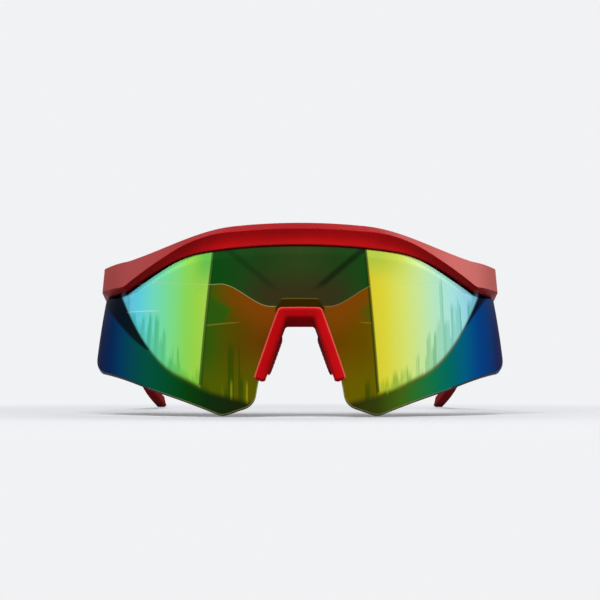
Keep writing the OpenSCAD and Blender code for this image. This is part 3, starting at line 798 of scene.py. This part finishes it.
def build_lens():
    half = lens_outline()
    outline = half + [Vector((-p.x, p.y)) for p in reversed(half[1:-1])]
    outline = dense(outline, EDGE_SPACING)
    flat, triangles = filled(inset(outline, LENS_BEVEL), GRID_SPACING)
    n, m = len(outline), len(flat)
    # Front face, rear face, and the two lines of the cut edge
    layers = [
        (flat, 0.0),
        (flat, -LENS_T),
        (outline, -LENS_BEVEL),
        (outline, LENS_BEVEL - LENS_T),
    ]
    verts = [(p.x, lens_y(p.x, p.y, out), p.y) for points, out in layers for p in points]
    faces = [tuple(t) for t in triangles] + [tuple(m + i for i in reversed(t)) for t in triangles]
    lines = (0, 2 * m, 2 * m + n, m)  # where each line of edge points starts, front to rear
    for i in range(n):
        k = (i + 1) % n
        faces += [(a + i, a + k, b + k, b + i) for a, b in zip(lines, lines[1:])]
    obj = piece("mirror_lens", verts, faces, COAT, "front", "lens_mirror", "shield_lens", 30)
    for material in (ARRIS_PAINTED_HIGHLIGHT, REAR, EDGE):
        obj.data.materials.append(material)
    coat, arris, rear, edge = range(4)
    axis, rearward = stand((0, LENS_R, 0)), turned((0, 1, 0))
    narrow = 0.4e-6  # square metres: the faces of the bevel are smaller
    for face in obj.data.polygons:
        outward = Vector((face.center.x, (face.center - axis).dot(rearward)))
        facing = outward.dot(Vector((face.normal.x, face.normal.dot(rearward)))) > 0
        if len(face.vertices) == 3:
            face.material_index = coat if facing else rear
        else:
            # The cut edge is painted pale only along its front arris, as a painted highlight
            face.material_index = arris if face.area < narrow and facing else edge


# ---- Brow ----


def brow_slice(angle):
    """Rounded section of the brow at an angle about the lens axis, as (rho, z) points."""
    turn_sin = math.sin(angle)
    out_rho = brow_rho(BROW_MID_R * turn_sin)
    x = out_rho * turn_sin
    t = top_z(x)
    lip = low_z(lens_rho(low_z(BROW_MID_R * turn_sin)) * turn_sin)
    at_end = angle >= TURN - 0.001
    lip_in = lip if at_end else low_z(lens_rho(lip, -LENS_T) * turn_sin)
    crease = max(crease_z(x), lip + EDGE_STEP)
    end = share(x, CREASE_FLAT, CREASE_DIP_X)
    groove = GROOVE_DEPTH * (1 - share(angle, TAB - 0.01, TAB)) + 0.1
    face, rear = lens_rho(lip), lens_rho(lip_in, -LENS_T)
    back = lens_rho(lip_in + GROOVE_DEPTH, -LENS_T) - GROOVE_GAP - BACK_WALL
    flat = (HALF_W - END_T) / max(turn_sin, 0.01)
    in_rho = mix(back, flat, share(angle, TAB, TURN))
    tall = crease - lip
    soft = min(0.3, tall * 0.3)
    lip_rho = face + LIP_PROUD
    # Corners of the section, each with its rounding, from the crease down and round the back
    points = [(out_rho, crease, soft)]
    # The lower face is drawn in between the crease and the lip
    hollow = 0.8 * share(tall, 1.0, 5.0)
    for k in (0.2, 0.4, 0.6, 0.8):
        rho = mix(out_rho, lip_rho, k) - hollow * math.sin(math.pi * k)
        points.append((rho, mix(crease, lip, k), 0))
    points += [
        (lip_rho, lip, soft),
        (face + GROOVE_GAP, lip, 0),
        (lens_rho(lip + groove) + GROOVE_GAP, lip + groove, 0),
        (lens_rho(lip_in + groove, -LENS_T) - GROOVE_GAP, lip_in + groove, 0),
        (rear - GROOVE_GAP, lip_in, 0),
        (in_rho, lip_in + 0.1, 0.5),
        (in_rho, t, 0.9),
        (out_rho - mix(2.2, 0.4, end), t, mix(0.7, 0.3, end)),
    ]
    return rounded(points, 4)


def brow_ring(angle):
    turn_sin, turn_cos = math.sin(angle), math.cos(angle)
    return [(p.x * turn_sin, LENS_R - p.x * turn_cos, p.y) for p in brow_slice(angle)]


def build_brow():
    count = 72
    rings = [brow_ring(TURN * i / count) for i in range(count)]
    last = brow_ring(TURN)
    outer = max(p[0] for p in last)
    inner = min(p[0] for p in last)

    # The last slice carried straight back, fitted between the end piece's two faces
    rear = []
    for p in last:
        x = mix(HALF_W - END_T, HALF_W, (p[0] - inner) / (outer - inner))
        rear.append((x, END_BACK_Y, p[2]))
    # A short curve round the corner, and the straight side
    near = [Vector(a).lerp(Vector(b), 0.08) for a, b in zip(last, rear)]
    before = rings[-1]
    for t in (0.25, 0.5, 0.75):
        ring = []
        for p, q, r in zip(before, last, near):
            a, b = Vector(p).lerp(Vector(q), t), Vector(q).lerp(r, t)
            ring.append(tuple(a.lerp(b, t)))
        rings.append(ring)
    rings.append([tuple(p) for p in near])
    for t in (0.3, 0.6, 0.9):
        rings.append([tuple(Vector(a).lerp(Vector(b), t)) for a, b in zip(last, rear)])
    # Small round-over at the rear face
    middle = Vector((HALF_W - END_T / 2, (END_TOP_Z + END_LOW_Z) / 2))
    for back, shrink in ((0.3, 0.0), (0.12, 0.035), (0.0, 0.1)):
        ring = []
        for p in rear:
            x, z = mix(p[0], middle.x, shrink), mix(p[2], middle.y, shrink * 0.5)
            ring.append((x, END_BACK_Y - back, z))
        rings.append(ring)
    rings = [flipped(ring, -1) for ring in reversed(rings[1:])] + rings
    verts, faces = sweep(rings)
    # The facet between the crease and the top edge, which widens towards the end pieces; it takes
    # the facet red with its painted shade and painted sheen
    n = len(last)
    facet = [i * n + j for i in range(len(rings) - 1) for j in range(n - 5, n)]
    looks = (RED, "front", "frame_red", "front_frame", 40, FACET_PAINTED_SHADE_AND_SHEEN, facet)
    piece("brow_frame", verts, faces, *looks)


# ---- Nose bridge ----


def bridge_lines():
    """Matched lines of the inverted U in front view: outer, front inner and rear inner."""
    steps, leg = 8, 24
    top_x, top = BRIDGE_TOP
    # The legs end a little higher than the CAD's, and foot_cap adds the rounded feet
    foot_x, foot = BRIDGE_FOOT[0] - 0.15, BRIDGE_FOOT[1] + 0.5
    wide, seat = BRIDGE_LEG, BRIDGE_LEG - PAD_T
    ends = [
        ((foot_x, foot), (top_x, top), 1.6),
        ((foot_x - wide, foot - 0.5), (top_x - wide + LEG_TAPER, top - wide), 1.2),
        ((foot_x - seat, foot - 0.5), (top_x - seat + REAR_TAPER, top - seat), 1.2),
    ]
    lines = []
    for start, bend, radius in ends:
        start, bend, middle = Vector(start), Vector(bend), Vector((0, bend[1]))
        arc = corner(start, bend, middle, radius, steps)
        line = [start.lerp(arc[0], i / leg) for i in range(leg)] + arc
        line += [arc[-1].lerp(middle, i / 3) for i in (1, 2, 3)]
        lines.append(line + [Vector((-p.x, p.y)) for p in reversed(line[:-1])])
    return lines


def build_bridge():
    # Share of the leg's width that lies over the lens
    lap = (FLANGE_LAP + 0.3) / (BRIDGE_LEG - PAD_T)
    # Section across a leg: share of the leg's width, and depth from a lens face or from the brow
    front, back, heel, brow = "front", "back", "heel", "brow"
    section = [
        (0.0, front, -0.05),
        (0.0, front, -0.6),
        (0.04, front, -0.9),
        (0.14, front, -1.2),
        (0.30, front, -FLANGE_T),
        (0.38, front, -FLANGE_T),
        (0.76, front, -1.15),
        (0.88, front, -0.85),
        (0.97, front, -0.45),
        (1.0, front, 0.1),
        (1.0, back, FLANGE_T - 0.4),
        (0.97, back, FLANGE_T - 0.1),
        (0.92, back, FLANGE_T),
        (1.0, heel, 0.2),
        (1.0, brow, BRIDGE_BACK_Y - 0.3),
        (0.92, brow, BRIDGE_BACK_Y),
        (lap + 0.08, brow, BRIDGE_BACK_Y),
        (lap, brow, BRIDGE_BACK_Y - 0.3),
        (lap, heel, 0.2),
        (lap - 0.12, back, FLANGE_T),
        (0.06, back, FLANGE_T),
        (0.0, back, FLANGE_T - 0.3),
        (0.0, back, 0.06),
        (0.42, back, 0.06),
        (0.42, front, -0.06),
    ]
    rings = []
    for outer, inner, rear_inner in zip(*bridge_lines()):
        ring = []
        for w, origin, depth in section:
            p = outer.lerp(inner if origin in (front, back) else rear_inner, w)
            rear = lens_y(p.x, p.y, -LENS_T)
            # The flange behind the lens and the rear of each leg end above the foot
            lift = p.y - BRIDGE_FOOT[1]
            grip = ease(lift, FLANGE_LIFT - 0.6, FLANGE_LIFT + 0.4)
            if origin == front:
                y = lens_y(p.x, p.y) + depth
            elif origin == back:
                y = rear + mix(-1.0, depth, grip)
            else:
                y = rear + mix(-1.0, FLANGE_T, grip) + 0.2
                if origin == brow:
                    y = mix(y + 0.2, depth, ease(lift, REAR_LIFT - 1.4, REAR_LIFT + 0.8))
            ring.append((p.x, y, p.y))
        rings.append(ring)

    def foot_cap(ring, turn):
        """A smaller copy of an end ring lower down, at an angle of the foot's round edge."""
        middle_x, middle_y = (sum(p[k] for p in ring) / len(ring) for k in (0, 1))
        close, down = 1 - math.cos(math.radians(turn)), 0.7 * math.sin(math.radians(turn))
        return [
            (mix(x, middle_x, close * 0.42), mix(y, middle_y, close * 0.3), z - down)
            for x, y, z in ring
        ]

    turns = (25, 50, 70, 86)
    first, last = ([foot_cap(ring, turn) for turn in turns] for ring in (rings[0], rings[-1]))
    rings = first[::-1] + rings + last
    verts, faces = sweep(rings)
    # The chamfer along the outer edge of the front, which takes the rim red with its painted
    # highlight
    rim_highlight_faces = [i * len(section) + j for i in range(len(rings) - 1) for j in (1, 2)]
    looks = (CLIP_RED, "front", "bridge_red", "nose_bridge", 45, CLIP_RIM_PAINTED_HIGHLIGHT, rim_highlight_faces)
    piece("nose_clip", verts, faces, *looks)


def build_pad(side, name, node):
    """Soft pad let into the inner face of one leg, with shallow grip ribs."""
    seat = BRIDGE_LEG - PAD_T
    foot = Vector((BRIDGE_FOOT[0] - seat, BRIDGE_FOOT[1] - 0.6))
    top = Vector((BRIDGE_TOP[0] - seat + REAR_TAPER, BRIDGE_TOP[1] - seat))
    front_y = lens_y(*BRIDGE_FOOT, -LENS_T - FLANGE_T) + 0.3
    back_y = BRIDGE_BACK_Y + 0.5
    rings = []
    count, ribs = 40, 9
    # Section of the pad: share of its depth, and share of its rise
    crown = [(0.0, 0.0), (0.0, 0.55), (0.06, 0.85), (0.18, 1.0), (0.5, 1.04), (0.82, 1.0)]
    crown += [(0.94, 0.85), (1.0, 0.55), (1.0, 0.0)]
    for i in range(count + 1):
        t = i / count
        # Full height along the pad, rounded down at its two ends
        full = math.sqrt(max(0.0, 1 - (2 * t - 1) ** 8))
        rise = PAD_T * full * 0.96
        rise -= 0.1 * (0.5 - 0.5 * math.cos(t * 2 * math.pi * ribs)) * share(full, 0.8, 1.0)
        base = top.lerp(foot, mix(0.2, 0.8, t))
        narrower = 0.6 * (1 - full)
        y0, y1 = front_y + narrower, back_y - narrower
        seat_x, rise = base.x - 0.06, max(rise, 0.02)
        rings.append([(seat_x - rise * h, mix(y0, y1, w), base.y) for w, h in crown])
    verts, faces = sweep(rings)
    piece(name, flipped(verts, side), faces, PAD, "front", "pad_rubber", node, 50)


# ---- Arms ----


def arm_top_z(t):
    """Upper edge of the arm, t behind the hinge."""
    root = mix(END_TOP_Z - 0.2, END_TOP_Z - 3.2, share(t, 0, ARM_DEEP_LEN))
    return mix(root, SOCK_TOP_Z - 0.1, ease(t, ARM_DEEP_LEN - 2, ARM_SLIM_AT))


def arm_low_z(t):
    """Lower edge of the arm, t behind the hinge."""
    root = END_LOW_Z - 0.3 * share(t, 0, ARM_DEEP_LEN)
    return mix(root, SOCK_TOP_Z - 3.5, ease(t, ARM_DEEP_LEN + 8, ARM_SLIM_AT + 2))


def arm_in(t):
    """How far the arm has bent inwards, t behind the hinge."""
    return TIP_IN * share(t, SOCK_START - 8, ARM_LEN) ** 2


def arm_thick(t):
    return mix(ARM_ROOT_T, ARM_MID_T, ease(t, ARM_LEAF_LEN + 3, ARM_DEEP_LEN + 8))


def box_ring(x0, x1, z0, z1, y):
    """A rounded rectangle across the arm at depth y."""
    r = min(1.3, (x1 - x0) * 0.48, (z1 - z0) * 0.48)
    outline = rounded([(x0, z0, r), (x1, z0, r), (x1, z1, r), (x0, z1, r)], 5)
    return [(p.x, y, p.y) for p in outline]


def arm_ring(t, shrink=0.0):
    """Section of the arm: flat inside, with a soft crease along the outer face."""
    x0 = HALF_W - ARM_ROOT_T - arm_in(t) + shrink
    x1 = x0 + arm_thick(t) - 2 * shrink
    z0, z1 = arm_low_z(t) + shrink, arm_top_z(t) - shrink
    tall = z1 - z0
    crease = 0.02 + mix(0.0, 0.4, share(t, 4, 20)) * share(tall, 3.0, 5.0)
    edge = z0 + tall * mix(0.42, 0.5, share(t, 10, 60))
    corners = [(x0, z0, 0.7), (x1 - crease, z0, 0.55), (x1, edge, 0.8)]
    corners += [(x1 - crease, z1, 0.55), (x0, z1, 0.7)]
    return [(p.x, HINGE_Y + t, p.y) for p in rounded(corners, 4)]


def build_arm(side, name, node, body):
    start = END_BACK_Y + ARM_GAP - HINGE_Y
    rings = [arm_ring(start, 0.3), arm_ring(start + 0.08, 0.12), arm_ring(start + 0.3)]
    count = 90
    rings += [arm_ring(mix(start + 0.3, SOCK_START - 0.3, i / count)) for i in range(1, count + 1)]
    rings += [arm_ring(SOCK_START - 0.1, 0.12), arm_ring(SOCK_START, 0.25)]
    verts, faces = sweep(rings)
    piece(name, flipped(verts, side), faces, RED, body, "arm_red", node, 40)


def sock_edges(t):
    """Lower and upper edge of the grip sleeve at t."""
    top_slope, low_slope = ARM_LEN - 4.6, ARM_LEN - 1.2  # where each edge turns to the point
    point_z = TIP_LOW_Z + 1.3
    low = mix(SOCK_TOP_Z - 3.9, TIP_LOW_Z, ease(t, SOCK_START - 8, ARM_LEN - 10))
    high = mix(SOCK_TOP_Z, SOCK_TOP_Z - 0.4, share(t, SOCK_START, top_slope))
    if t > top_slope:
        high = mix(SOCK_TOP_Z - 0.4, point_z, share(t, top_slope, ARM_LEN))
    if t > low_slope:
        low = mix(TIP_LOW_Z, point_z, share(t, low_slope, ARM_LEN))
    return low, high


def build_sock(side, name, node, body):
    over = (SOCK_T - ARM_MID_T) / 2
    count = 120
    rib_pitch, rib_depth = 1.6, 0.16
    rings = []
    for i in range(count + 1):
        t = mix(SOCK_START, ARM_LEN - 0.35, i / count)
        low, high = sock_edges(t)
        high = max(high, low + 0.25)
        swell = over * ease(t, SOCK_START, SOCK_START + 8)
        x0 = HALF_W - ARM_ROOT_T - arm_in(t) - swell
        x1 = HALF_W - ARM_ROOT_T - arm_in(t) + ARM_MID_T + swell
        # Grip ribs along the middle of the sleeve
        ribs = ease(t, SOCK_START + 9, SOCK_START + 12) * (1 - ease(t, ARM_LEN - 16, ARM_LEN - 12))
        wave = 0.5 - 0.5 * math.cos(2 * math.pi * (t - SOCK_START) / rib_pitch)
        dip = rib_depth * ribs * wave
        rings.append(box_ring(x0 + dip, x1 - dip, low + dip, high - dip, HINGE_Y + t))
    # Rounded front end
    first = rings[0]
    middle_x, middle_z = (sum(p[k] for p in first) / len(first) for k in (0, 2))
    lip = [(mix(x, middle_x, 0.12), y, mix(z, middle_z, 0.08)) for x, y, z in first]
    rings[0] = [(x, y + 0.25, z) for x, y, z in first]
    verts, faces = sweep([lip] + rings)
    piece(name, flipped(verts, side), faces, RUBBER, body, "grip_rubber", node, 50)


# ---- Hinges, screws and bushes stay the CAD's, with a finish and a hair of edge rounding ----


def finish_node(name, material, edge):
    """Gives a CAD node its material and rounds its edges, by edge in millimetres."""
    obj = frame["nodes"][name]
    obj.data.materials.clear()
    obj.data.materials.append(material)
    bevel = obj.modifiers.new("edge", "BEVEL")
    bevel.width = edge / 1000
    bevel.segments = 2
    bevel.limit_method = "ANGLE"
    bevel.angle_limit = math.radians(40)


build_lens()
build_brow()
build_bridge()
for side, word in ((-1, "left"), (1, "right")):
    build_pad(side, f"soft_nose_pad_{word}", f"nose_pad_{word}")
    build_arm(side, f"moulded_arm_{word}", f"arm_{word}", f"{word}_arm")
    build_sock(side, f"grip_sleeve_{word}", f"ear_sock_{word}", f"{word}_arm")
    for node in ("frame_hinge", "arm_hinge"):
        finish_node(f"{node}_{word}", STEEL, 0.06)
    for node in ("frame_hinge_screws", "arm_hinge_screws", "hinge_screw"):
        finish_node(f"{node}_{word}", STEEL, 0.05)
    finish_node(f"hinge_bush_{word}", NYLON, 0.04)


# ---- Stage, light and camera ----


def to_eye(tree):
    """1 for rays the camera sends, straight or by way of a mirror, 0 for light's own bounces."""
    path = tree.nodes.new("ShaderNodeLightPath")
    either = tree.nodes.new("ShaderNodeMath")
    either.operation = "MAXIMUM"
    for source, target in zip(("Is Camera Ray", "Is Glossy Ray"), either.inputs):
        tree.links.new(path.outputs[source], target)
    return either.outputs[0]


def pale_floor(near, far_colour, bounce):
    """A plain floor that fades into the pale surroundings away from the object."""
    reach, gap = 6.0, 0.0003  # half its width, and how far it lies under the object
    mesh = bpy.data.meshes.new("floor")
    corners = [(-reach, -reach, 0), (reach, -reach, 0), (reach, reach, 0), (-reach, reach, 0)]
    mesh.from_pydata(corners, [], [(0, 1, 2, 3)])
    obj = bpy.data.objects.new("floor", mesh)
    obj.location = (0, 0, -gap)
    bpy.context.scene.collection.objects.link(obj)
    paint = Paint("floor")
    seen = to_eye(paint.tree)
    away = paint.add("ShaderNodeVectorMath", operation="LENGTH")
    paint.join(paint.place, away.inputs[0])
    far = paint.times(paint.smooth(away.outputs["Value"], 0.08, 0.28), seen)
    lit = paint.blend(seen, bounce, near)
    black = (0, 0, 0, 1)
    paint.set(base_color=paint.blend(far, lit, black), roughness=0.9, specular_ior_level=0.0)
    paint.set(emission_color=far_colour, emission_strength=far)
    mesh.materials.append(paint.material)


def pale_world(colour, light):
    """Surroundings that look as the colour says and light the object at a lower level."""
    world = bpy.data.worlds.new("studio")
    bpy.context.scene.world = world
    world.use_nodes = True
    tree = world.node_tree
    background = tree.nodes["Background"]
    background.inputs["Color"].default_value = colour
    level = tree.nodes.new("ShaderNodeMapRange")
    level.inputs["To Min"].default_value = light
    level.inputs["To Max"].default_value = 1.0
    tree.links.new(to_eye(tree), level.inputs["Value"])
    tree.links.new(level.outputs["Result"], background.inputs["Strength"])


def area_light(name, place, height, size, power):
    """A rectangular lamp that points at a spot above the middle of the floor."""
    data = bpy.data.lights.new(name, "AREA")
    data.shape = "RECTANGLE"
    data.size, data.size_y = size
    data.energy = power
    obj = bpy.data.objects.new(name, data)
    obj.location = place
    aim = Vector((0, 0, height)) - Vector(place)
    obj.rotation_euler = aim.to_track_quat("-Z", "Y").to_euler()
    bpy.context.scene.collection.objects.link(obj)
    return obj


SURROUNDINGS = rgb("f1f2f4")
pale_floor(rgb("c6c7ca"), SURROUNDINGS, rgb("8c8d90"))
pale_world(SURROUNDINGS, 0.4)

area_light("key", (-0.1, -0.5, 0.7), 0.03, (0.6, 0.5), 7.0).visible_glossy = False
area_light("side", (0.55, -0.4, 0.4), 0.03, (0.4, 0.4), 1.2).visible_glossy = False
area_light("rear", (0.1, 0.45, 0.6), 0.04, (0.9, 0.15), 2.6).visible_camera = False

# The photographed view looks up at the glasses' own straight-ahead line from 18 degrees below it
VIEW_BELOW = math.radians(18.0)
VIEW_DISTANCE = 420.0
VIEW_DROP = 25.5
forward = (0, math.cos(VIEW_BELOW), math.sin(VIEW_BELOW))
upward = (0, -math.sin(VIEW_BELOW), math.cos(VIEW_BELOW))
camera_data = bpy.data.cameras.new("camera")
camera_data.sensor_width = 36.0
camera_data.lens = 76.5
camera_data.clip_start = 0.01
camera = bpy.data.objects.new("camera", camera_data)
camera.location = stand([-VIEW_DISTANCE * f - VIEW_DROP * u for f, u in zip(forward, upward)])
camera.rotation_euler = turned(forward).to_track_quat("-Z", "Y").to_euler()
bpy.context.scene.collection.objects.link(camera)
bpy.context.scene.camera = camera

bpy.context.scene.view_settings.view_transform = "Standard"
